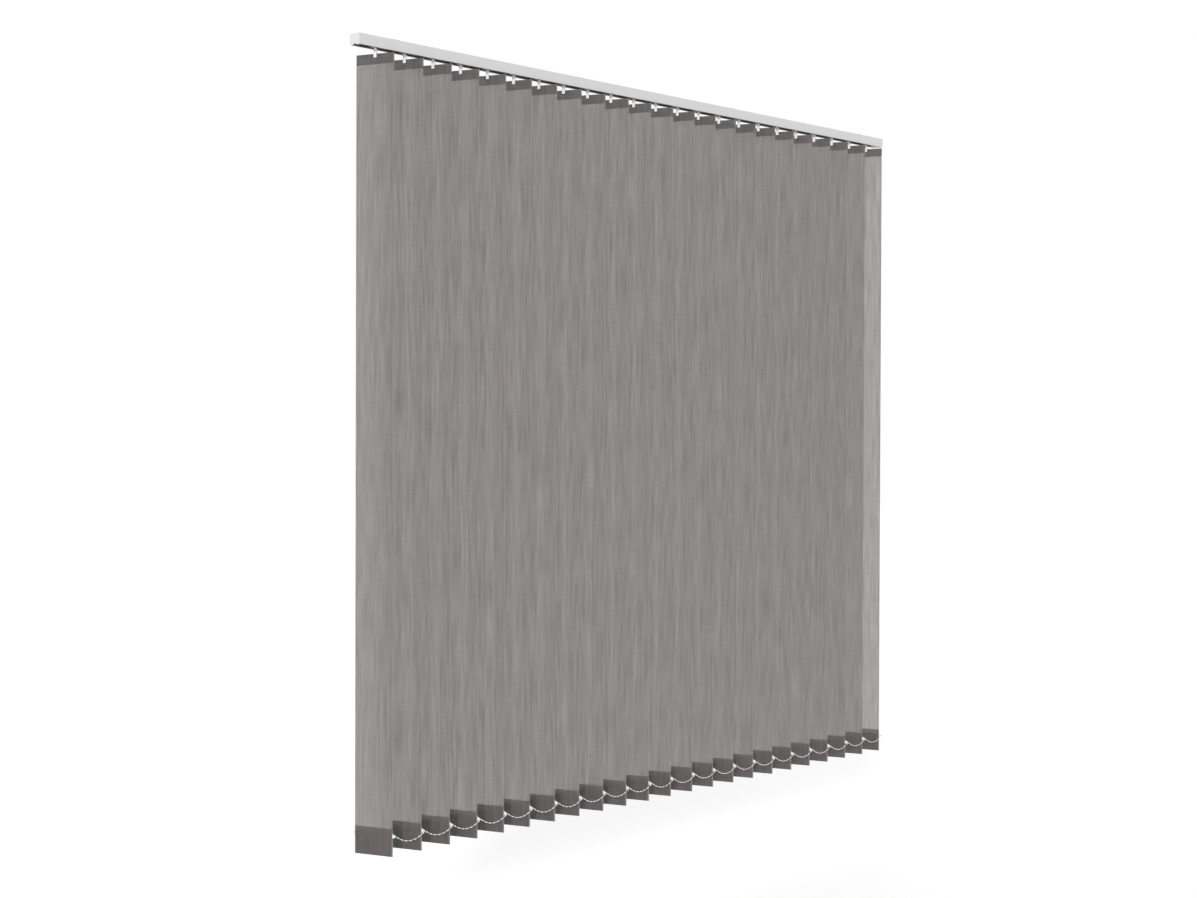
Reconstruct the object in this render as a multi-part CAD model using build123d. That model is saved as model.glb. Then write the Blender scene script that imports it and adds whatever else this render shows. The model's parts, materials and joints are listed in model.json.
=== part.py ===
from build123d import *
import math
import os

# Vertical blind hung from its headrail, in millimetres.
# X runs along the rail, +Y points away from the room and +Z points up.
# The origin is the middle of the rail's length, on the ceiling face of its mounting clips.

# Vanes: fabric strips that hang from hooks at an even pitch
vane_count = 23
vane_pitch = 115.0
vane_width = 127.0
vane_drop = 2320.0
rest_angle = 74.0
ply = 0.5

# Top hem with its hanger plate, and bottom pocket with its weight
hem_height = 30.0
hem_weld = 4.0
hanger_width = 118.0
hanger_height = 21.0
hanger_thickness = 1.2
pocket_height = 81.0
pocket_weld = 5.0
weight_width = 119.0
weight_height = 66.0
weight_thickness = 2.0
pocket_play = 0.1

# Hook: a journal turning in its carrier, a flange, a yoke and two jaws
journal_radius = 4.0
journal_sides = 8
journal_play = 0.2
flange_across = 10.5
flange_sides = 8
flange_thickness = 2.2
hook_gap = 15.0
yoke_gap = 1.0
yoke_width = 10.0
jaw_thickness = 1.2
jaw_play = 0.15
jaw_length = 11.0
tooth_width = 4.0
tooth_height = 2.5
tooth_above_tip = 1.5
window_play = 1.0

# Headrail: extruded channel with a clip groove on top and a slot below
rail_depth = 40.0
rail_height = 32.0
rail_wall = 1.5
groove_height = 4.0
groove_mouth = 16.0
slot_width = 18.0
ridge_width = 1.2
ridge_height = 1.5
step_height = 3.5
step_depth = 0.8
edge_radius = 1.0
control_overhang = 79.0
return_overhang = 86.0

# Carriers: trucks that roll on the two tracks inside the rail
carrier_length = 19.0
carrier_width = 25.0
carrier_headroom = 1.5
carrier_floor = 2.0
flange_play = 0.4
wheel_diameter = 9.0
wheel_width = 3.0
wheel_sides = 8
bore_sides = 8
running_gap = 0.3

# Tilt rod and the sprocket that turns it
rod_radius = 3.0
rod_valley = 2.2
rod_points = 6
rod_offset = 6.5
rod_above_track = 11.75
rod_window = 8.0
rod_play = 0.3
bearing_sides = 24
sprocket_radius = 10.0
sprocket_width = 6.0
sprocket_teeth = 10
tooth_depth = 1.9
tooth_share = 0.4

# End caps: a plate over the rail's end, with a block that fills the channel behind it
cap_thickness = 3.0
cap_fit = 0.2
control_block = 24.0
return_block = 40.0
slot_relief = 7.0
sprocket_room = 0.7
room_sides = 16
outlet_width = 14.0
notch_height = 3.0

# Mounting clips
clip_count = 4
clip_spacing = 800.0
clip_plate = 2.0
clip_length = 30.0
clip_width = 28.0
clip_foot = 24.0
clip_foot_thickness = 1.6
clip_play = 0.3
screw_radius = 2.25

# Chain clips and chains
clip_height = 60.0
ear_root = 15.0
ear_tip = 4.0
ear_reach = 11.0
ear_play = 0.9
chain_sag = 19.5
link_pitch = 17.5
link_width = 3.4
link_gap = 0.4

# Levels that follow from the sizes above
rail_top = -clip_plate
rail_bottom = rail_top - rail_height
track = rail_bottom + rail_wall
groove_top = rail_top - rail_wall
groove_floor = groove_top - groove_height
chamber_top = groove_floor - rail_wall
vane_top = rail_bottom - hook_gap
vane_bottom = vane_top - vane_drop
rod_level = track + rod_above_track
carrier_bottom = track + ridge_height + running_gap
carrier_top = chamber_top - carrier_headroom
rail_length = control_overhang + vane_pitch * (vane_count - 1) + return_overhang
first_vane = control_overhang - rail_length / 2
inner_half = rail_depth / 2 - rail_wall


def prism(outline, length, plane, holes=()):
    """A closed outline, less any holes, carried along the plane's normal."""
    face = Face(Wire.make_polygon([plane.from_local_coords(p) for p in outline]))
    solid = extrude(face, length, plane.z_dir)
    for hole in holes:
        cut = Face(Wire.make_polygon([plane.from_local_coords(p) for p in hole]))
        solid -= extrude(cut, length, plane.z_dir)
    return solid


def block(x, y, z):
    """A box from its low and high limits along each axis."""
    size = (x[1] - x[0], y[1] - y[0], z[1] - z[0])
    middle = ((x[0] + x[1]) / 2, (y[0] + y[1]) / 2, (z[0] + z[1]) / 2)
    return Pos(*middle) * Box(*size)


def regular(sides, across):
    """Corners of a regular polygon, given the distance across its flats."""
    corner = across / 2 / math.cos(math.pi / sides)
    turns = [2 * math.pi * (i + 0.5) / sides for i in range(sides)]
    return [(corner * math.cos(t), corner * math.sin(t)) for t in turns]


def rail_profile():
    """Section of the headrail across its length, as a face in the YZ plane."""
    half = rail_depth / 2
    outer = Polyline(
        (-half + step_depth, rail_top),
        (-half + step_depth, rail_top - step_height),
        (-half, rail_top - step_height - step_depth),
        (-half, rail_bottom),
        (half, rail_bottom),
        (half, rail_top - step_height - step_depth),
        (half - step_depth, rail_top - step_height),
        (half - step_depth, rail_top),
        close=True,
    )
    section = make_face(outer)
    bottom = section.vertices().group_by(Axis.Y)[0]
    section = fillet(bottom, edge_radius)
    groove_half = inner_half - step_depth
    section -= Pos(0, (groove_top + groove_floor) / 2) * Rectangle(2 * groove_half, groove_height)
    section -= Pos(0, (rail_top + groove_top) / 2) * Rectangle(groove_mouth, rail_wall)
    section -= Pos(0, (chamber_top + track) / 2) * Rectangle(2 * inner_half, chamber_top - track)
    section -= Pos(0, (track + rail_bottom) / 2) * Rectangle(slot_width, rail_wall)
    ridge_middle = (slot_width + ridge_width) / 2
    for side in (-1, 1):
        ridge = Rectangle(ridge_width, ridge_height)
        section += Pos(side * ridge_middle, track + ridge_height / 2) * ridge
    return section


def headrail():
    """The extruded channel between the two end caps."""
    start = -rail_length / 2 + cap_thickness
    face = Plane(origin=(start, 0, 0), x_dir=(0, 1, 0), z_dir=(1, 0, 0)) * rail_profile()
    return extrude(face, rail_length - 2 * cap_thickness, (1, 0, 0))


def end_cap(side, depth):
    """End plate with the block that plugs the channel and carries the tilt rod in a bearing.

    side is -1 for the control end and 1 for the return end.
    """
    outside = side * rail_length / 2
    inside = outside - side * cap_thickness
    plate_x = sorted((outside, inside))
    half = rail_depth / 2
    plate = block(plate_x, (-half, half), (rail_bottom, rail_top))
    corners = plate.edges().filter_by(Axis.X).group_by(Axis.Z)[0]
    plate = fillet(corners, edge_radius)
    block_x = sorted((inside, inside - side * depth))
    reach = inner_half - cap_fit
    plug = block(block_x, (-reach, reach), (track + cap_fit, chamber_top - cap_fit))
    for ridge_side in (-1, 1):
        near = ridge_side * (slot_width / 2 - cap_fit)
        far = ridge_side * (slot_width / 2 + ridge_width + cap_fit)
        over = track + ridge_height + cap_fit
        plug -= block(block_x, sorted((near, far)), (track, over))
    plane = Plane(origin=(block_x[0], 0, 0), x_dir=(0, 1, 0), z_dir=(1, 0, 0))
    bearing = regular(bearing_sides, 2 * (rod_radius + rod_play))
    return plate + plug - prism([(rod_offset + y, rod_level + z) for y, z in bearing], depth, plane)


def return_end_cap():
    """End cap whose block also fills the slot beyond the last truck."""
    cap = end_cap(1, return_block)
    inside = rail_length / 2 - cap_thickness
    half = slot_width / 2 - cap_fit
    return cap + block((inside - return_block, inside), (-half, half), (rail_bottom, track + cap_fit))


def sprocket_middle():
    """Where the sprocket sits along the rod, inside the control end cap."""
    return -rail_length / 2 + cap_thickness + control_block / 2


def control_end_cap():
    """End cap with a room for the sprocket and an outlet below it for the tilt chain.

    The block is hollow over the slot, and the slot runs out through a notch in the plate.
    """
    cap = end_cap(-1, control_block)
    width = sprocket_width + 2 * sprocket_room
    start = sprocket_middle() - width / 2
    plane = Plane(origin=(start, 0, 0), x_dir=(0, 1, 0), z_dir=(1, 0, 0))
    room = regular(room_sides, 2 * (sprocket_radius + sprocket_room))
    cap -= prism([(rod_offset + y, rod_level + z) for y, z in room], width, plane)
    outlet = outlet_width / 2
    cap -= block((start, start + width), (-outlet, outlet), (track, rod_level))
    outside = -rail_length / 2
    inside = outside + cap_thickness
    half_slot = slot_width / 2
    relief_x = (inside, inside + control_block)
    cap -= block(relief_x, (-half_slot, half_slot), (track, track + slot_relief))
    return cap - block((outside, inside), (-outlet, outlet), (rail_bottom, rail_bottom + notch_height))


def star(radius, valley, points):
    """Outline of the splined rod: ribs at one radius and valleys at a smaller one."""
    outline = []
    for i in range(2 * points):
        reach = radius if i % 2 == 0 else valley
        turn = math.pi * i / points
        outline.append((rod_offset + reach * math.cos(turn), rod_level + reach * math.sin(turn)))
    return outline


def tilt_rod():
    """Splined rod that turns every hook together, held in both end caps."""
    start = -rail_length / 2 + cap_thickness + rod_play
    length = rail_length - 2 * (cap_thickness + rod_play)
    plane = Plane(origin=(start, 0, 0), x_dir=(0, 1, 0), z_dir=(1, 0, 0))
    return prism(star(rod_radius, rod_valley, rod_points), length, plane)


def tilt_sprocket():
    """Chain wheel pressed on the rod's ribs, with a pocket between teeth for each bead."""
    start = sprocket_middle() - sprocket_width / 2
    plane = Plane(origin=(start, 0, 0), x_dir=(0, 1, 0), z_dir=(1, 0, 0))
    outline = []
    for tooth in range(sprocket_teeth):
        for share, depth in ((0, 0), (tooth_share, 0), ((1 + tooth_share) / 2, tooth_depth)):
            turn = 2 * math.pi * (tooth + share) / sprocket_teeth
            reach = sprocket_radius - depth
            outline.append((rod_offset + reach * math.cos(turn), rod_level + reach * math.sin(turn)))
    return prism(outline, sprocket_width, plane, (star(rod_radius, rod_valley, rod_points),))


def mounting_clips():
    """Ceiling clips whose feet lie in the rail's top groove, each with a screw hole."""
    half_plate, half_foot = clip_width / 2, clip_foot / 2
    half_neck = groove_mouth / 2 - clip_play
    foot_top = groove_top - clip_play
    foot_bottom = foot_top - clip_foot_thickness
    outline = [
        (-half_plate, 0),
        (-half_plate, rail_top),
        (-half_neck, rail_top),
        (-half_neck, foot_top),
        (-half_foot, foot_top),
        (-half_foot, foot_bottom),
    ]
    outline += [(-y, z) for y, z in reversed(outline)]
    solids = []
    for place in range(clip_count):
        middle = (place - (clip_count - 1) / 2) * clip_spacing
        start = middle - clip_length / 2
        plane = Plane(origin=(start, 0, 0), x_dir=(0, 1, 0), z_dir=(1, 0, 0))
        clip = prism(outline, clip_length, plane)
        screw = Pos(middle, 0, foot_bottom / 2) * Cylinder(screw_radius, -foot_bottom)
        solids.append((clip - screw).solid())
    return solids


def carrier():
    """Truck with its stem on the Z axis: housing, rod window, stem bore, flange room and two wheels."""
    half_length, half_width = carrier_length / 2, carrier_width / 2
    body = block((-half_length, half_length), (-half_width, half_width), (carrier_bottom, carrier_top))
    top_edges = body.edges().filter_by(Axis.X).group_by(Axis.Z)[-1]
    body = chamfer(top_edges, carrier_headroom)
    window = rod_window / 2
    body -= block(
        (-half_length, half_length),
        (rod_offset - window, rod_offset + window),
        (rod_level - window, rod_level + window),
    )
    bore = regular(bore_sides, 2 * (journal_radius + journal_play))
    body -= prism(bore, carrier_floor, Plane.XY.offset(carrier_bottom))
    room = flange_across / 2 / math.cos(math.pi / flange_sides) + journal_play
    room_bottom = carrier_bottom + carrier_floor
    body -= block((-room, room), (-room, room), (room_bottom, room_bottom + flange_thickness + flange_play))
    solids = [body.solid()]
    axle_level = track + running_gap + wheel_diameter / 2
    rim = [(x, axle_level + z) for x, z in regular(wheel_sides, wheel_diameter)]
    for start in (-half_width - wheel_width, half_width):
        plane = Plane(origin=(0, start + wheel_width, 0), x_dir=(1, 0, 0), z_dir=(0, -1, 0))
        solids.append(prism(rim, wheel_width, plane).solid())
    return solids


def fabric():
    """One strip of fabric, folded at the top over the hanger and at the bottom over the weight.

    It is drawn as a section across its thickness, carried along its width.
    """
    face = ply / 2
    hem_inner = face + hanger_thickness + 2 * pocket_play
    hem_outer = hem_inner + ply
    weight_inner = face + weight_thickness + 2 * pocket_play
    weight_outer = weight_inner + ply
    hanger_end = vane_top - ply - 3 * pocket_play - hanger_height
    weight_end = vane_bottom + ply + 3 * pocket_play + weight_height
    hem_end = vane_top - hem_height
    pocket_end = vane_bottom + pocket_height
    outline = [
        (-face, vane_bottom),
        (-face, vane_top),
        (hem_outer, vane_top),
        (hem_outer, hanger_end),
        (face + ply, hem_end + hem_weld),
        (face + ply, hem_end),
        (face, hem_end),
        (face, pocket_end),
        (face + ply, pocket_end),
        (face + ply, pocket_end - pocket_weld),
        (weight_outer, weight_end),
        (weight_outer, vane_bottom),
    ]
    hem_room = [
        (face, vane_top - ply),
        (hem_inner, vane_top - ply),
        (hem_inner, hanger_end),
        (face, hem_end + hem_weld),
    ]
    weight_room = [
        (face, vane_bottom + ply),
        (weight_inner, vane_bottom + ply),
        (weight_inner, weight_end),
        (face, pocket_end - pocket_weld),
    ]
    plane = Plane(origin=(-vane_width / 2, 0, 0), x_dir=(0, 1, 0), z_dir=(1, 0, 0))
    strip = prism(outline, vane_width, plane, (hem_room, weight_room))
    return (strip - hook_window(hem_outer)).solid()


def hook_window(depth):
    """Opening punched through the hem and the hanger for the hook's tooth."""
    half = tooth_width / 2 + window_play
    tip = vane_top - jaw_length
    low = tip + tooth_above_tip - window_play
    high = tip + tooth_above_tip + tooth_height + window_play
    return block((-half, half), (-ply, depth + ply), (low, high))


def hanger():
    """Stiff plate in the top hem, with the same window as the fabric."""
    front = ply / 2 + pocket_play
    top = vane_top - ply - pocket_play
    half = hanger_width / 2
    plate = block((-half, half), (front, front + hanger_thickness), (top - hanger_height, top))
    return (plate - hook_window(front + hanger_thickness)).solid()


def weight():
    """Flat weight in the bottom pocket."""
    front = ply / 2 + pocket_play
    low = vane_bottom + ply + pocket_play
    half = weight_width / 2
    return block((-half, half), (front, front + weight_thickness), (low, low + weight_height)).solid()


def chain_ear(side):
    """Clip on the weight's edge, tapering to the point that carries the chain."""
    front = ply / 2 + pocket_play
    level = vane_bottom + clip_height
    root = side * weight_width / 2
    tip = side * (vane_width / 2 + ear_reach)
    outline = [
        (root, level - ear_root / 2),
        (tip, level - ear_tip / 2),
        (tip, level + ear_tip / 2),
        (root, level + ear_root / 2),
    ]
    plane = Plane(origin=(0, front + weight_thickness, 0), x_dir=(1, 0, 0), z_dir=(0, -1, 0))
    return prism(outline, weight_thickness, plane).solid()


def hook():
    """Stem with its flange, the yoke below the rail and the two jaws that hold the hem."""
    front_in = -ply / 2 - jaw_play
    back_in = ply / 2 + hanger_thickness + 2 * pocket_play + ply + jaw_play
    front_out, back_out = front_in - jaw_thickness, back_in + jaw_thickness
    yoke_top = rail_bottom - yoke_gap
    jaw_tip = vane_top - jaw_length
    roof = vane_top + jaw_play
    outline = [
        (front_out, jaw_tip),
        (front_in, jaw_tip),
        (front_in, roof),
        (back_in, roof),
        (back_in, jaw_tip),
        (back_out, jaw_tip),
        (back_out, yoke_top),
        (front_out, yoke_top),
    ]
    plane = Plane(origin=(-yoke_width / 2, 0, 0), x_dir=(0, 1, 0), z_dir=(1, 0, 0))
    yoke = prism(outline, yoke_width, plane)
    tooth_low = jaw_tip + tooth_above_tip
    tooth = block(
        (-tooth_width / 2, tooth_width / 2),
        (front_in, back_in - jaw_play),
        (tooth_low, tooth_low + tooth_height),
    )
    flange_low = carrier_bottom + carrier_floor + flange_play / 2
    round_stem = regular(journal_sides, 2 * journal_radius * math.cos(math.pi / journal_sides))
    journal = prism(round_stem, flange_low - yoke_top, Plane.XY.offset(yoke_top))
    flange = prism(regular(flange_sides, flange_across), flange_thickness, Plane.XY.offset(flange_low))
    return (yoke + tooth + journal + flange).solid()


def vane():
    """Everything that turns together about one hook, with the hook on the Z axis."""
    return [fabric(), hook(), hanger(), weight(), chain_ear(-1), chain_ear(1)]


def ear_point(side):
    """Where the chain passes a clip, measured from the hook's axis, with the vane at rest."""
    reach = side * (vane_width / 2 + ear_reach + ear_play)
    middle = ply / 2 + pocket_play + weight_thickness / 2
    turn = math.radians(rest_angle)
    x = reach * math.cos(turn) + middle * math.sin(turn)
    y = -reach * math.sin(turn) + middle * math.cos(turn)
    return x, y


def link(length):
    """One chain link on the X axis: a square belly in the middle that tapers to a point at both ends."""
    half = link_width / 2
    belly = [(0, half, half), (0, -half, half), (0, -half, -half), (0, half, -half)]
    sides = []
    for tip in ((length / 2, 0, 0), (-length / 2, 0, 0)):
        for a, b in zip(belly, belly[1:] + belly[:1]):
            sides.append(Face(Wire.make_polygon([a, b, tip])))
    return Solid(Shell(sides))


def loop_points(steps=400):
    """Points at even distances along one sagging loop, from ear to ear, with its low point in the middle."""
    def curve(t):
        return vane_pitch * t, -4 * chain_sag * t * (1 - t)

    fine = [curve(i / steps) for i in range(steps + 1)]
    run = [0.0]
    for (x0, z0), (x1, z1) in zip(fine, fine[1:]):
        run.append(run[-1] + math.hypot(x1 - x0, z1 - z0))
    links = round(run[-1] / link_pitch)
    points = []
    for i in range(links + 1):
        want = run[-1] * i / links
        place = min(range(len(run)), key=lambda n: abs(run[n] - want))
        points.append(fine[place])
    return points


def chain(side):
    """Links hung in one loop from each ear to the next, along the whole blind."""
    offset_x, offset_y = ear_point(side)
    level = vane_bottom + clip_height
    points = loop_points()
    chords = list(zip(points, points[1:]))
    shortest = min(math.dist(a, b) for a, b in chords)
    piece = link(shortest - link_gap)
    solids = []
    for gap in range(vane_count - 1):
        start = first_vane + gap * vane_pitch + offset_x
        for (x0, z0), (x1, z1) in chords:
            slope = math.degrees(math.atan2(z1 - z0, x1 - x0))
            middle = Pos(start + (x0 + x1) / 2, offset_y, level + (z0 + z1) / 2)
            solids.append((middle * Rot(0, -slope, 0) * piece).solid())
    return solids


def save(name, solids):
    """Write one node's solids to its own file."""
    shape = solids[0] if len(solids) == 1 else Compound(solids)
    export_step(shape, f"parts/{name}.step")


def main():
    os.makedirs("parts", exist_ok=True)
    save("headrail", [headrail().solid()])
    save("control_end_cap", [control_end_cap().solid()])
    save("return_end_cap", [return_end_cap().solid()])
    save("mounting_clips", mounting_clips())
    save("tilt_rod", [tilt_rod().solid()])
    save("tilt_sprocket", [tilt_sprocket().solid()])
    truck, strip = carrier(), vane()
    for number in range(vane_count):
        place = Pos(first_vane + number * vane_pitch, 0, 0)
        turned = place * Rot(0, 0, -rest_angle)
        save(f"carrier_{number + 1:02d}", [place * piece for piece in truck])
        save(f"vane_{number + 1:02d}", [turned * piece for piece in strip])
    save("front_chain", chain(1))
    save("back_chain", chain(-1))
    print("rail length", rail_length, "first vane at", first_vane, "vane bottom", vane_bottom)
    print("front ear", ear_point(1), "back ear", ear_point(-1), "links per loop", len(loop_points()) - 1)


main()
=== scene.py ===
# %% [markdown]
# # A vertical blind in screen fabric
# The blind is a slim rail with twenty-three strips of sheer grey fabric under it.
# The rail, end caps, ceiling clips, trucks, rod and sprocket arrive as solid parts and only get a finish.
# The cloth, hooks, hem plates, weights, chain clips and chains are dressed here, piece by piece.

# %% The solid model as a fixed frame
import json
import math

import bpy
import numpy as np
from mathutils import Matrix


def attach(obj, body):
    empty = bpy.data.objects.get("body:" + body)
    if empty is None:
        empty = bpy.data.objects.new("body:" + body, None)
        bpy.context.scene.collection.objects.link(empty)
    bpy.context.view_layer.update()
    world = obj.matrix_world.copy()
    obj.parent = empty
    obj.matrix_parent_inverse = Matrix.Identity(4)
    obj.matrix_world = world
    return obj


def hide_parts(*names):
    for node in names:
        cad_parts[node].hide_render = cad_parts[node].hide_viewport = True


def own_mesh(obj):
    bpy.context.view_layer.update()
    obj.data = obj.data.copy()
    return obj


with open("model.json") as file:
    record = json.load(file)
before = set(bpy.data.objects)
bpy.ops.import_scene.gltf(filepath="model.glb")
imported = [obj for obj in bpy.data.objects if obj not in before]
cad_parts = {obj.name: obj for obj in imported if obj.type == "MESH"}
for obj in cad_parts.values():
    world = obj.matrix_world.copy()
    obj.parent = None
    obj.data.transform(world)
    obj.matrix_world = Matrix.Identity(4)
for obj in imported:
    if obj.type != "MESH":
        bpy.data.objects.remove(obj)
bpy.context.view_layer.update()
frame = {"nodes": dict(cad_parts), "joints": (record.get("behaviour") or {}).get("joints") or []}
nodes = frame["nodes"]

# %% [markdown]
# ## Sizes
# Each strip hangs from a hook that turns about its own upright axis.
# Those axes are the tilt joints of the solid model, so the hook places are read from there.
# The other sizes are set here: width, drop, hem, pocket, the plates inside them and the hook's jaws.

# %% Sizes in metres
hook_axis = {j["child"]: np.array(j["pos_m"]) for j in frame["joints"] if j["name"].endswith("_tilt")}
strips = sorted(hook_axis)
middle_strip = strips[len(strips) // 2]
rest_angle = math.radians(74)
rail_bottom = -0.034
hook_gap = 0.015
pitch = 0.115
strip_width = 0.127
strip_drop = 2.320
strip_top = rail_bottom - hook_gap
strip_bottom = strip_top - strip_drop
ply = 0.0005
plate_play = 0.0001
hem_height = 0.030
pocket_height = 0.081
hanger_width, hanger_height, hanger_thick = 0.118, 0.021, 0.0012
weight_width, weight_height, weight_thick = 0.119, 0.066, 0.002
jaw_tip = strip_top - 0.011
tooth_low = jaw_tip + 0.0015
tooth_high = tooth_low + 0.0025
window_play = 0.001
print("strips", len(strips), "from z", round(strip_top, 4), "to", round(strip_bottom, 4))

# %% [markdown]
# ## Camera
# The blind was seen from its left front at mid height, with a fairly long lens.
# The camera's place and turn come from solving the view of the hooks, strip corners and rail ends.

# %% Camera
eye = (-5.0649, -4.2263, -1.1262)
yaw, tip, roll = (math.radians(a) for a in (48.49, -0.633, 0.192))
ahead = np.array([math.sin(yaw) * math.cos(tip), math.cos(yaw) * math.cos(tip), math.sin(tip)])
level = np.array([math.cos(yaw), -math.sin(yaw), 0.0])
upright = np.cross(level, ahead)
right = math.cos(roll) * level + math.sin(roll) * upright
over = -math.sin(roll) * level + math.cos(roll) * upright
lens = bpy.data.cameras.new("camera")
lens.sensor_width = 36.0
lens.lens = 58.65
lens.clip_start, lens.clip_end = 0.05, 200.0
camera = bpy.data.objects.new("camera", lens)
bpy.context.scene.collection.objects.link(camera)
camera.matrix_world = Matrix([[*row, place] for row, place in zip(np.stack([right, over, -ahead], 1), eye)]
                             + [[0, 0, 0, 1]])
bpy.context.scene.camera = camera
print("camera at", eye, "lens", lens.lens)

# %% [markdown]
# ## Materials written as sums
# A pattern such as a weave is a short formula, and a formula reads best as one.
# `Value` wraps one output socket, so that `1 - mask * 0.2` adds the Math nodes by itself.
# `Recipe` is one material; its `node` method makes any other node, settings first and sockets after.


# %% Two classes that turn expressions into nodes
class Value:
    """One number or vector that flows between nodes, with Python's operators."""

    def __init__(self, recipe, socket):
        self.recipe, self.socket = recipe, socket

    def maths(self, operation, *values):
        return self.recipe.node("ShaderNodeMath", {"operation": operation}, dict(enumerate(values)))

    def __add__(self, other):
        return self.maths("ADD", self, other)

    def __sub__(self, other):
        return self.maths("SUBTRACT", self, other)

    def __rsub__(self, other):
        return self.maths("SUBTRACT", other, self)

    def __mul__(self, other):
        return self.maths("MULTIPLY", self, other)

    def __lt__(self, other):
        return self.maths("LESS_THAN", self, other)

    def __gt__(self, other):
        return self.maths("GREATER_THAN", self, other)

    __radd__ = __add__
    __rmul__ = __mul__

    def __abs__(self):
        return self.maths("ABSOLUTE", self)

    def wave(self, length):
        """Sine of the value with that wavelength."""
        return self.maths("SINE", self * (2 * math.pi / length))


class Recipe:
    """A node material built around one Principled surface."""

    def __init__(self, name, **surface):
        self.material = bpy.data.materials.new(name)
        self.material.use_nodes = True
        self.tree = self.material.node_tree
        self.surface = self.tree.nodes["Principled BSDF"]
        self.end = self.tree.nodes["Material Output"].inputs["Surface"]
        for socket, value in surface.items():
            self.surface.inputs[socket.replace("_", " ")].default_value = value

    def node(self, kind, settings=None, sockets=None, output=0):
        """A new node with its settings and sockets filled in, as the value of one of its outputs."""
        made = self.tree.nodes.new(kind)
        for name, value in (settings or {}).items():
            setattr(made, name, value)
        for name, value in (sockets or {}).items():
            self.put(made.inputs[name], value)
        return Value(self, made.outputs[output])

    def put(self, socket, value):
        """Links a Value to a socket, or sets the socket to a plain number or colour."""
        if isinstance(value, Value):
            self.tree.links.new(value.socket, socket)
        else:
            socket.default_value = value

    def split(self, vector):
        parts = self.tree.nodes.new("ShaderNodeSeparateXYZ")
        self.tree.links.new(vector.socket, parts.inputs[0])
        return [Value(self, out) for out in parts.outputs]

    def joined(self, x, y, z=0.0):
        return self.node("ShaderNodeCombineXYZ", None, {0: x, 1: y, 2: z})

    def noise(self, vector, scale, detail, roughness):
        sockets = {"Vector": vector, "Scale": scale, "Detail": detail, "Roughness": roughness}
        return self.node("ShaderNodeTexNoise", {"noise_dimensions": "3D"}, sockets)

    def mixed(self, share, first, second):
        """Colour that goes from first to second as share goes from 0 to 1."""
        made = self.tree.nodes.new("ShaderNodeMix")
        made.data_type = "RGBA"
        colours = [s for s in made.inputs if s.type == "RGBA"]
        self.put(made.inputs[0], share)
        for socket, value in zip(colours, (first, second)):
            self.put(socket, value)
        return Value(self, next(s for s in made.outputs if s.type == "RGBA"))

    def bumped(self, height, distance, strength):
        sockets = {"Height": height, "Distance": distance, "Strength": strength}
        return self.node("ShaderNodeBump", None, sockets)

    def wear(self, socket, value):
        """Feeds a socket of the Principled surface."""
        self.put(self.surface.inputs[socket], value)


def grey(level, warmth=0.0):
    """A near neutral colour, a little redder and less blue as warmth grows."""
    return (level * (1 + warmth), level, level * (1 - warmth), 1.0)


print("material helpers ready")

# %% [markdown]
# ## Screen fabric
# Blind fabric of this kind is woven from grey yarn with small gaps, so a little of what is behind shows.
# The yarn itself also lets light through, which is why a strip with light behind it looks lighter
# than its own hem and pocket, where a second layer or the weight inside stops that light.
# A share of a Translucent surface gives that glow, and the Principled surface's alpha gives the gaps.
# The weave is far finer than a pixel from across a room, and what the eye sees is the slow change
# in yarn thickness: soft streaks along the strip, fainter ones across it, and a drift in the dye.
# A narrow selvedge along both sides is a little lighter.
# The material follows the strip's own map, whose units are metres across the strip and along the roll.

# %% Screen fabric material
yarn = 0.0011
selvedge = 0.0016
fabric = Recipe("screen_fabric", Roughness=0.85, Specular_IOR_Level=0.2)
across, along, _ = fabric.split(fabric.node("ShaderNodeUVMap", {"uv_map": "cloth"}))


def patches(per_metre_across, per_metre_along, detail, roughness):
    """Noise from 0 to 1 with that many patches to the metre across and along the cloth."""
    place = fabric.joined(across * per_metre_across, along * per_metre_along)
    return fabric.noise(place, 1.0, detail, roughness)


warp_streaks = patches(130.0, 7.0, 2.0, 0.5)
weft_streaks = patches(7.0, 420.0, 2.0, 0.5)
slubs = patches(170.0, 170.0, 2.0, 0.6)
dye = (patches(42.0, 5.0, 1.0, 0.5) - 0.5) * 1.2 + 0.5
threads = across.wave(yarn) * along.wave(yarn) * 0.5 + 0.5
edge = (across < selvedge) + (across > strip_width - selvedge)
tone = ((warp_streaks - 0.5) * 1.15 + (weft_streaks - 0.5) * 0.4 + (slubs - 0.5) * 0.4
        + (threads - 0.5) * 0.25 + 0.5)
deep = fabric.mixed(dye, (0.146, 0.108, 0.108, 1.0), (0.112, 0.122, 0.113, 1.0))
pale = fabric.mixed(dye, (0.238, 0.193, 0.191, 1.0), (0.200, 0.212, 0.202, 1.0))
fabric.wear("Base Color", fabric.mixed(edge * 0.3, fabric.mixed(tone, deep, pale), grey(0.6)))
openness = 0.31 + (threads - 0.5) * 0.14 + (tone - 0.5) * 0.30
fabric.wear("Alpha", 1 - openness)
fabric.wear("Normal", fabric.bumped(threads, 0.00012, 0.6))
glow = fabric.node("ShaderNodeBsdfTranslucent", None, {"Color": (0.71, 0.70, 0.69, 1.0)})
reflecting = Value(fabric, fabric.surface.outputs[0])
glow_share = 0.5 + (tone - 0.5) * 0.30
fabric.put(fabric.end, fabric.node("ShaderNodeMixShader", None, {0: glow_share, 1: reflecting, 2: glow}))
print("fabric nodes", len(fabric.tree.nodes))

# %% [markdown]
# ## Moulded plastic and metal
# Hooks, clips, chains and end caps are white plastic with a soft shine and a very fine grain.
# Trucks and sprocket are a greyer plastic, and the plates in the hems are a clear one.
# Rod, weights and ceiling clips are bare or zinc-plated metal.


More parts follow.
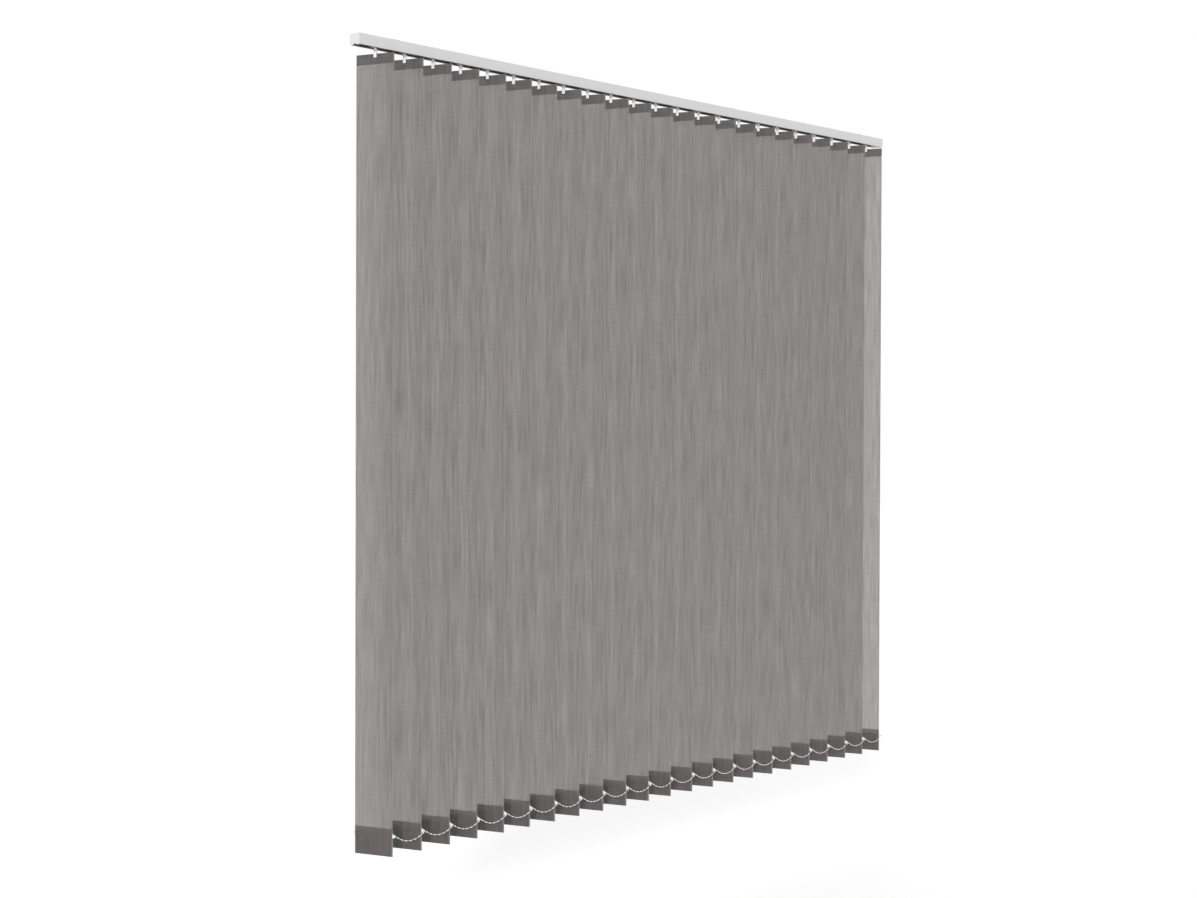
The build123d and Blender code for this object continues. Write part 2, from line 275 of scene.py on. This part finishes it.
# %% Hard materials
def grained(name, dark, light, grain, depth, stretch=(1, 1, 1), **surface):
    """Colour that drifts between two tones over a few centimetres, with a fine grain in the surface."""
    made = Recipe(name, **surface)
    place = made.node("ShaderNodeTexCoord", None, None, "Object")
    spread = made.node("ShaderNodeMapping", {"vector_type": "POINT"}, {"Vector": place, "Scale": stretch})
    drift = made.noise(spread, 14.0, 3.0, 0.55)
    fine = made.noise(spread, 1 / grain, 2.0, 0.6)
    made.wear("Base Color", made.mixed(drift, dark, light))
    made.wear("Roughness", drift * 0.10 + surface["Roughness"] - 0.05)
    made.wear("Normal", made.bumped(fine, depth, 0.5))
    return made.material


white_plastic = grained("white_plastic", grey(0.90), grey(0.95), 0.0006, 0.00002, Roughness=0.42)
cap_plastic = grained("cap_plastic", grey(0.75), grey(0.79), 0.0006, 0.00002, Roughness=0.45)
chain_plastic = grained("chain_plastic", grey(0.80), grey(0.86), 0.0004, 0.00001, Roughness=0.36)
truck_plastic = grained("truck_plastic", grey(0.62, 0.01), grey(0.70, 0.01), 0.0007, 0.00002,
                        Roughness=0.5)
clear_plastic = grained("hem_plate_plastic", grey(0.72), grey(0.80), 0.0008, 0.00002,
                        Roughness=0.45, Alpha=0.15)
zinc = grained("zinc_plate", grey(0.52, -0.01), grey(0.60, -0.01), 0.0012, 0.00002,
               Roughness=0.38, Metallic=1.0)
drawn_metal = grained("drawn_aluminium", grey(0.62), grey(0.70), 0.0005, 0.00002, (0.04, 1, 1),
                      Roughness=0.34, Metallic=1.0)
hard = (white_plastic, cap_plastic, chain_plastic, truck_plastic, clear_plastic, zinc, drawn_metal)
print("hard materials", [made.name for made in hard])

# %% [markdown]
# ## Powder-coated rail
# The rail is extruded aluminium with a pale satin coat, whose orange-peel grain is about a millimetre,
# over faint lines that the die draws along the metal.
# The channel and the underside around its slot get a nearly black colour: painted shade inside the rail.
# The rest of the underside, a narrow band along each edge, gets a near white colour: painted light from the
# floor.

# %% Rail material
shade_half_width = 0.0186
chamber_top = -0.0085
rail_coat = Recipe("powder_coat", Roughness=0.46)
here = rail_coat.node("ShaderNodeTexCoord", None, None, "Object")
x, y, z = rail_coat.split(here)
die_lines = rail_coat.noise(rail_coat.joined(x * 1.2, y * 420.0, z * 420.0), 1.0, 3.0, 0.6)
peel = rail_coat.noise(here, 900.0, 2.0, 0.5)
painted = rail_coat.mixed(die_lines, grey(0.69), grey(0.735))
# Painted light: the underside's edge bands get a near white colour that stands for light from the floor.
painted_underside_light = z < rail_bottom + 0.0003
# Painted shade: the channel and the underside round its slot get a nearly black colour.
painted_channel_shade = (abs(y) < shade_half_width) * (z > rail_bottom - 0.001) * (z < chamber_top)
coat_with_painted_light = rail_coat.mixed(painted_underside_light, painted, grey(0.90))
rail_coat.wear("Base Color", rail_coat.mixed(painted_channel_shade, coat_with_painted_light, grey(0.05)))
rail_coat.wear("Roughness", die_lines * 0.12 + 0.40)
rail_coat.wear("Normal", rail_coat.bumped(peel * 0.6 + die_lines * 0.4, 0.00003, 0.5))
print("rail nodes", len(rail_coat.tree.nodes))

# %% [markdown]
# ## From arrays to meshes
# A long piece is a row of outlines, one behind the other, joined by quads: a plate, a bead, a folded strip.
# `rows` holds those outlines as an array of stations by points by three.
# All faces of the grid come from two index arrays, so no vertex is visited by a Python loop.


# %% Mesh helpers
def grid_faces(stations, points, wrapped):
    """Quads between neighbours along both ways of the grid; wrapped joins an outline's end to its start."""
    last = points if wrapped else points - 1
    a, b = np.meshgrid(np.arange(stations - 1), np.arange(last), indexing="ij")
    c = (b + 1) % points
    quads = np.stack([a * points + b, (a + 1) * points + b, (a + 1) * points + c, a * points + c], -1)
    return quads.reshape(-1, 4)


def finished(name, points, faces, material, body, smooth=True):
    """A piece with its place in its mesh, riding on a body."""
    mesh = bpy.data.meshes.new(name)
    mesh.from_pydata(points.reshape(-1, 3).tolist(), [], faces)
    mesh.update()
    mesh.materials.append(material)
    mesh.polygons.foreach_set("use_smooth", np.full(len(mesh.polygons), smooth))
    piece = bpy.data.objects.new(name, mesh)
    bpy.context.scene.collection.objects.link(piece)
    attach(piece, body)
    return piece


def skin(rows):
    """Quads round a row of closed outlines, with a cap on each end."""
    stations, points = rows.shape[:2]
    faces = grid_faces(stations, points, True).tolist()
    faces.append(list(range(points)))
    faces.append(list(range((stations - 1) * points, stations * points))[::-1])
    return faces


def merged(parts):
    """Several rows of outlines as one list of points and one list of faces."""
    points, faces, start = [], [], 0
    for rows in parts:
        points.append(rows.reshape(-1, 3))
        faces += [[i + start for i in face] for face in skin(rows)]
        start += rows.shape[0] * rows.shape[1]
    return np.concatenate(points), faces


def hung(local, strip):
    """Points across, through and up a strip, turned to its rest angle about its hook's axis.

    x is u cos a + v sin a and y is v cos a - u sin a, from the axis.
    """
    u, v, z = local[..., 0], local[..., 1], local[..., 2]
    x = u * math.cos(rest_angle) + v * math.sin(rest_angle)
    y = v * math.cos(rest_angle) - u * math.sin(rest_angle)
    return np.stack([x + hook_axis[strip][0], y + hook_axis[strip][1], z], -1)


def rounded(piece, radius, segments=2):
    """Rounds the sharp edges, as a mould or a press leaves them."""
    bevel = piece.modifiers.new("edges", "BEVEL")
    bevel.width, bevel.segments = radius, segments
    bevel.limit_method, bevel.angle_limit = "ANGLE", math.radians(35)


def extruded(outline, low, high, order):
    """A closed outline in two axes, carried along the third from low to high."""
    outline = np.asarray(outline, float)
    rows = np.empty((2, len(outline), 3))
    rows[..., order[0]], rows[..., order[1]] = outline[:, 0], outline[:, 1]
    rows[0, :, order[2]], rows[1, :, order[2]] = low, high
    return rows


print("mesh helpers ready")

# %% [markdown]
# ## The section of a strip
# One strip is a single length of cloth: it starts at the hem's free end on the back,
# goes over the top, down the front, round the bottom and up to the pocket's free end.
# Its section is therefore one line, whose ends stand off the front by the thickness of the plate between.


# %% Section of a strip
def arc_points(centre, across_radius, up_radius, start, end, count):
    """Part of an ellipse in the through and up plane, from one angle to another in degrees."""
    turn = np.radians(np.linspace(start, end, count))
    return np.stack([centre[0] + across_radius * np.cos(turn), centre[1] + up_radius * np.sin(turn)], -1)


def strip_section():
    """Centre line of the cloth's section, as through and up, from the hem's end to the pocket's end."""
    laid = ply + 0.00006
    fold = 0.0009
    hem_gap = ply + hanger_thick + 2 * plate_play
    pocket_gap = ply + weight_thick + 2 * plate_play
    hem_end, plate_end = strip_top - hem_height, strip_top - 0.022
    pocket_end, weight_end = strip_bottom + pocket_height, strip_bottom + weight_height + 0.001
    hem_side = [(laid, hem_end), (laid, hem_end + 0.004), (hem_gap, plate_end),
                (hem_gap, window_low), (hem_gap, window_high)]
    over_top = arc_points((hem_gap / 2, strip_top - ply / 2 - fold), hem_gap / 2, fold, 0, 180, 7)
    front = [(0.0, window_high), (0.0, window_low), (0.0, plate_end), (0.0, hem_end)]
    middle = [(0.0, z) for z in np.linspace(strip_top - 0.06, strip_bottom + 0.12, 34)]
    foot = [(0.0, pocket_end), (0.0, weight_end)]
    under = arc_points((pocket_gap / 2, strip_bottom + ply / 2 + fold), pocket_gap / 2, fold, 180, 360, 7)
    pocket_side = [(pocket_gap, weight_end), (laid, pocket_end - 0.005), (laid, pocket_end)]
    return np.concatenate([hem_side, over_top, front, middle, foot, under, pocket_side])


window_low, window_high = tooth_low - window_play, tooth_high + window_play
window_half = 0.003
section = strip_section()
walked = np.concatenate([[0.0], np.cumsum(np.hypot(*np.diff(section, axis=0).T))])
cloth_length = float(walked[-1])
half_width = strip_width / 2
columns = half_width * np.array([-1, -0.8, -0.6, -0.4, -0.2, -window_half / half_width,
                                 window_half / half_width, 0.2, 0.4, 0.6, 0.8, 1])
print("cloth length", round(cloth_length, 4), "section points", len(section))

# %% [markdown]
# ## The strips
# A strip is its section carried across the width, with a window in the hem for the hook's tooth.
# Flat cloth never hangs perfectly flat, so each strip cups by well under a millimetre between
# its plates, all the same way, and a thin Solidify gives it the thickness of the weave.
# The strips are cut one after another from one roll, so each one's map starts further along that roll
# and no streak comes twice.


# %% Strips
def strip_cloth(strip, cup, roll_start):
    """Section carried across the width, cupped by cup times sin(pi t) times 1 - (2u/w)^2.

    t goes from 0 a little above the pocket to 1 below the hem, and u is the place across the width w.
    """
    up = section[:, 1]
    t = np.clip((up - strip_bottom - 0.09) / (strip_drop - 0.14), 0, 1)
    bulge = cup * np.sin(np.pi * t)[:, None] * (1 - (2 * columns / strip_width) ** 2)[None, :]
    local = np.empty((len(section), len(columns), 3))
    local[..., 0] = columns[None, :]
    local[..., 1] = section[:, :1] - bulge
    local[..., 2] = up[:, None]
    faces = grid_faces(len(section), len(columns), False)
    centre = local.reshape(-1, 3)[faces].mean(1)
    level = centre[:, 2]
    in_window = (np.abs(centre[:, 0]) < window_half) & (level > window_low) & (level < window_high)
    faces = faces[~in_window]
    piece = finished(strip.replace("vane", "strip"), hung(local, strip), faces.tolist(),
                     fabric.material, strip)
    cloth = np.stack(np.broadcast_arrays(columns[None, :] + half_width, (walked + roll_start)[:, None]), -1)
    layer = piece.data.uv_layers.new(name="cloth")
    layer.data.foreach_set("uv", cloth.reshape(-1, 2)[faces].ravel())
    thick = piece.modifiers.new("weave thickness", "SOLIDIFY")
    thick.thickness, thick.offset = ply, 0.0
    return piece


lengths_apart = 1.37
cups = 0.0004 + 0.0004 * np.random.default_rng(23).random(len(strips))
for number, (strip, cup) in enumerate(zip(strips, cups)):
    piece = strip_cloth(strip, cup, number * lengths_apart * cloth_length)
    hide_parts(strip)
print("strips", len(strips), "cup from", round(float(cups.min()), 5), "to", round(float(cups.max()), 5))

# %% [markdown]
# ## Hooks
# A hook is one small moulding: a round stem that turns in the truck, a flange that carries the weight,
# a flat yoke below the rail whose two jaws clip over the hem, and a tooth between the jaws.
# The yoke's outline is a staple seen edge on, carried across its width; stem and flange are turned shapes.


# %% Hooks
def turned(radii, levels, sides):
    """Rings of a turned shape, one for each radius and level, about an upright axis."""
    turn = 2 * np.pi * (np.arange(sides) + 0.5) / sides
    radii, levels = np.asarray(radii)[:, None], np.asarray(levels)[:, None]
    x, y = radii * np.cos(turn), radii * np.sin(turn)
    return np.stack([x, y, np.broadcast_to(levels, x.shape)], -1)


jaw_play, jaw_thick = 0.00015, 0.0012
inner_front = -ply / 2 - jaw_play
inner_back = ply / 2 + hanger_thick + 2 * plate_play + ply + jaw_play
outer_front, outer_back = inner_front - jaw_thick, inner_back + jaw_thick
yoke_top = rail_bottom - 0.001
roof = strip_top + jaw_play
lead_in = 0.0006
shoulder = 0.003
yoke_half, tooth_half = 0.005, 0.002
staple = [(outer_front, jaw_tip), (inner_front, jaw_tip + lead_in), (inner_front, roof), (inner_back, roof),
          (inner_back, jaw_tip + lead_in), (outer_back, jaw_tip), (outer_back, yoke_top - shoulder),
          (outer_back - lead_in, yoke_top), (outer_front + lead_in, yoke_top),
          (outer_front, yoke_top - shoulder)]
yoke = extruded(staple, -yoke_half, yoke_half, (1, 2, 0))
tooth_outline = [(-tooth_half, tooth_low), (tooth_half, tooth_low), (tooth_half, tooth_high),
                 (-tooth_half, tooth_high)]
tooth = extruded(tooth_outline, inner_front - 0.0002, inner_back - jaw_play, (0, 2, 1))
flange_low = -0.0285
stem = turned([0.0039, 0.0039], [yoke_top - 0.0005, flange_low + 0.0004], 20)
flange = turned([0.0048, 0.0052, 0.0052, 0.0048],
                [flange_low, flange_low + 0.0003, flange_low + 0.0019, flange_low + 0.0022], 20)
hook_points, hook_faces = merged([yoke, tooth, stem, flange])
for strip in strips:
    piece = finished(strip.replace("vane", "hook"), hung(hook_points, strip), hook_faces,
                     white_plastic, strip, smooth=False)
    rounded(piece, 0.0004)
print("hook points", len(hook_points))

# %% [markdown]
# ## Hem plates and weights
# A thin plate in each hem keeps it straight, and a flat weight in each pocket keeps the strip taut.
# Both have rounded corners, so their outline is a rounded rectangle carried through their thickness.


# %% Plates in hem and pocket
def rounded_rectangle(width, height, radius):
    """Outline of a rectangle about the origin whose corners are quarter circles of five points."""
    quarter = np.linspace(0, np.pi / 2, 5)
    corners = []
    for i, (sx, sy) in enumerate(((1, 1), (-1, 1), (-1, -1), (1, -1))):
        turn = quarter + i * np.pi / 2
        corners.append(np.stack([sx * (width / 2 - radius) + radius * np.cos(turn),
                                 sy * (height / 2 - radius) + radius * np.sin(turn)], -1))
    return np.concatenate(corners)


plate_front = ply / 2 + plate_play
inset = 0.0001


def plate_rows(outline, thickness):
    """An outline across and up, carried through a plate's thickness less a small inset on both faces."""
    return extruded(outline, plate_front + inset, plate_front + thickness - inset, (0, 2, 1))


hanger_middle = strip_top - ply - plate_play - hanger_height / 2
weight_middle = strip_bottom + ply + plate_play + weight_height / 2
hanger_rows = plate_rows(rounded_rectangle(hanger_width, hanger_height, 0.002) + (0, hanger_middle),
                         hanger_thick)
weight_rows = plate_rows(rounded_rectangle(weight_width, weight_height, 0.003) + (0, weight_middle),
                         weight_thick)
for strip in strips:
    for what, rows, material, slot in (("hem_plate", hanger_rows, clear_plastic, "carrier_plastic"),
                                       ("weight", weight_rows, zinc, "clip_steel")):
        points, faces = merged([rows])
        piece = finished(strip.replace("vane", what), hung(points, strip), faces, material, strip,
                         smooth=False)
        rounded(piece, 0.0002, 1)
print("plates", 2 * len(strips))

# %% [markdown]
# ## Chain clips
# At both ends of a weight a small clip reaches out of the pocket and tapers to the eye of the chain.
# Its outline is broad at the pocket's mouth and round at the tip, with a low boss where the link snaps on.

# %% Chain clips
ear_level = strip_bottom + 0.060
ear_middle = plate_front + weight_thick / 2
ear_tip = half_width + 0.011
eye_radius = 0.0020
root_half, mouth_half = 0.0073, 0.0066


def clip_rows(side):
    """Outline from the weight's edge past the pocket's mouth to a round nose from -65 to 65 degrees."""
    root = weight_width / 2 + 0.0001
    turn = np.radians(np.linspace(-65, 65, 7))
    nose = np.stack([ear_tip - eye_radius + eye_radius * np.cos(turn),
                     ear_level + eye_radius * np.sin(turn)], -1)
    outline = np.concatenate([[(root, ear_level - root_half), (half_width, ear_level - mouth_half)], nose,
                              [(half_width, ear_level + mouth_half), (root, ear_level + root_half)]])
    outline[:, 0] *= side
    return plate_rows(outline[::-1] if side < 0 else outline, weight_thick)


def clip_boss(side):
    """Raised round boss on the clip where the chain's link snaps on."""
    ring = turned([0.0016, 0.0016, 0.0011], [0.0, 0.0010, 0.0014], 12)
    return np.stack([ring[..., 0] + side * (ear_tip - 0.0026), -ring[..., 2] + plate_front + 0.0002,
                     ring[..., 1] + ear_level], -1)


for strip in strips:
    for side, where in ((1, "near"), (-1, "far")):
        points, faces = merged([clip_rows(side), clip_boss(side)])
        piece = finished(strip.replace("vane", f"clip_{where}"), hung(points, strip), faces,
                         chain_plastic, strip, smooth=False)
        rounded(piece, 0.0003)
print("chain clips", 2 * len(strips))

# %% [markdown]
# ## Chains along the bottom
# Two chains of small white beads join the strips, one along the near clips and one along the far clips.
# Between two clips a chain hangs in a shallow curve, close to a parabola at this sag.
# Each bead swells to nearly three times the neck between beads, so one chain is a round tube whose
# radius rises and falls along the curve.

# %% Chains
sag = 0.0195
beads = 7
neck_radius, bead_radius = 0.0006, 0.0016
bead_half_share = 0.29
chain_reach = ear_tip + 0.0009
chain_sides = 8
spans = len(strips) - 1
bead_stations = np.array([0.0, 0.205, 0.225, 0.30, 0.40, 0.50, 0.60, 0.70, 0.775, 0.795])


def loop_line():
    """Places t of the stations on one loop, spaced by its length and not by t, and that length.

    The drop at t is -4 sag t (1 - t).
    """
    t = np.linspace(0, 1, 2001)
    drop = -4 * sag * t * (1 - t)
    run = np.concatenate([[0], np.cumsum(np.hypot(np.diff(t) * pitch, np.diff(drop)))])
    share = (np.arange(beads)[:, None] + bead_stations[None, :]).ravel() / beads
    return np.interp(share * run[-1], run, t), float(run[-1])


def bead_size(place):
    """Neck radius, plus an elliptical swelling round the middle of each bead."""
    off = np.clip(np.abs(place - 0.5) / bead_half_share, 0, 1)
    return neck_radius + (bead_radius - neck_radius) * np.sqrt(1 - off ** 2)


def chain_rows(side):
    """Rings round the chain's line, from the first strip's clip to the last one's."""
    at, _ = loop_line()
    along_rail = np.append((np.arange(spans)[:, None] + at[None, :]).ravel(), spans)
    t = along_rail % 1.0
    slope = np.arctan2(-4 * sag * (1 - 2 * t), pitch)
    radius = np.append(np.tile(bead_size(bead_stations), beads * spans), neck_radius)
    start = hung(np.array([side * chain_reach, ear_middle, ear_level]), strips[0])
    centre = np.stack([start[0] + along_rail * pitch, np.full(len(t), start[1]),
                       start[2] - 4 * sag * t * (1 - t)], -1)
    turn = 2 * np.pi * np.arange(chain_sides) / chain_sides
    outward = np.stack([-np.sin(slope), np.zeros(len(t)), np.cos(slope)], -1)
    sideways = np.array([0.0, 1.0, 0.0])
    ring = outward[:, None, :] * np.cos(turn)[None, :, None] + sideways * np.sin(turn)[None, :, None]
    return centre[:, None, :] + ring * radius[:, None, None]


for side, name in ((1, "front_chain"), (-1, "back_chain")):
    points, faces = merged([chain_rows(side)])
    piece = finished(name.replace("chain", "bead_chain"), points, faces, chain_plastic, name)
    anchor = hung(np.array([side * chain_reach, ear_middle, ear_level]), middle_strip)
    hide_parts(name)
    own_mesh(piece)
    print(name, "points", len(points), "loop length", round(loop_line()[1], 4))

# %% [markdown]
# ## Finishes of the solid parts
# Rail, end caps, trucks, rod, sprocket and ceiling clips keep their solid shapes and get a finish each.

# %% Finishes on the solid parts
finishes = {"headrail": rail_coat.material, "control_end_cap": cap_plastic, "return_end_cap": cap_plastic,
            "mounting_clips": zinc, "tilt_rod": drawn_metal, "tilt_sprocket": truck_plastic}
finishes |= {name: truck_plastic for name in nodes if name.startswith("carrier")}
for name, finish in finishes.items():
    nodes[name].data.materials.clear()
    nodes[name].data.materials.append(finish)
print("finished nodes", len(finishes))

# %% [markdown]
# ## Studio
# The blind hangs from 2.7 m above a floor, in a white surround.
# Floor and world are white where they are seen directly, in a mirror or through a translucent surface,
# and paler to all other rays, so they don't wash out the cloth.
# The main lamp is a fairly sharp sun from a little further left than the camera, so that a narrow and faint
# band of shade lies beside each strip's near edge.
# A weaker and much softer sun lights the back, and a faint wide panel on the floor lifts the undersides.


# %% Floor, world and lamps
def seen_directly(tree):
    """Socket that is 1 for camera rays and rays that a surface mirrors or lets through, 0 for others."""
    path = tree.nodes.new("ShaderNodeLightPath")
    seen = path.outputs["Is Camera Ray"]
    for kind in ("Is Glossy Ray", "Is Transmission Ray"):
        either = tree.nodes.new("ShaderNodeMath")
        either.operation = "MAXIMUM"
        tree.links.new(seen, either.inputs[0])
        tree.links.new(path.outputs[kind], either.inputs[1])
        seen = either.outputs[0]
    return seen


def shown(tree, plain, white, end):
    """Sends the white shader to the rays of seen_directly, and the plain one to all others."""
    choice = tree.nodes.new("ShaderNodeMixShader")
    for socket, source in zip(choice.inputs, (seen_directly(tree), plain, white)):
        tree.links.new(source, socket)
    tree.links.new(choice.outputs[0], end)


world = bpy.data.worlds.new("studio")
bpy.context.scene.world = world
world.use_nodes = True
sky = world.node_tree
dim, bright = sky.nodes["Background"], sky.nodes.new("ShaderNodeBackground")
for background, strength in ((dim, 0.60), (bright, 1.0)):
    background.inputs["Color"].default_value = grey(1.0)
    background.inputs["Strength"].default_value = strength
shown(sky, dim.outputs[0], bright.outputs[0], sky.nodes["World Output"].inputs["Surface"])

floor_level = -2.7
floor_half = 30.0
floor_mesh = bpy.data.meshes.new("floor")
corners = [(sx * floor_half, sy * floor_half, floor_level) for sx, sy in ((-1, -1), (1, -1), (1, 1), (-1, 1))]
floor_mesh.from_pydata(corners, [], [(0, 1, 2, 3)])
floor = bpy.data.objects.new("floor", floor_mesh)
bpy.context.scene.collection.objects.link(floor)
ground = Recipe("pale_floor", Base_Color=grey(0.92), Roughness=0.9, Specular_IOR_Level=0.0)
matt = Value(ground, ground.surface.outputs[0])
lift = ground.node("ShaderNodeEmission", None, {"Strength": 0.34})
lifted = ground.node("ShaderNodeAddShader", None, {0: matt, 1: lift})
shown(ground.tree, matt.socket, lifted.socket, ground.end)
floor_mesh.materials.append(ground.material)


def lamp(name, kind, strength):
    """A lamp of that kind, linked into the scene; its size and place are set after."""
    data = bpy.data.lights.new(name, kind)
    data.energy = strength
    made = bpy.data.objects.new(name, data)
    bpy.context.scene.collection.objects.link(made)
    return made


def soft_sun(name, azimuth, elevation, strength, spread):
    """A sun that comes from that azimuth, 0 from the room and 90 from the right, at that elevation."""
    sun = lamp(name, "SUN", strength)
    sun.data.angle = math.radians(spread)
    sun.rotation_euler = (math.radians(90 - elevation), 0.0, math.radians(azimuth))


soft_sun("key", -57, 14, 1.54, 8)
soft_sun("back_fill", 150, 30, 0.5, 60)
panel = lamp("floor_panel", "AREA", 6.0)
panel.data.shape, panel.data.size, panel.data.size_y = "RECTANGLE", 5.0, 3.0
panel.location = (0.0, -0.6, floor_level + 0.02)
panel.rotation_euler = (math.pi, 0.0, 0.0)
panel.visible_camera = False
bpy.context.scene.view_settings.view_transform = "Standard"
print("floor at", floor_level)
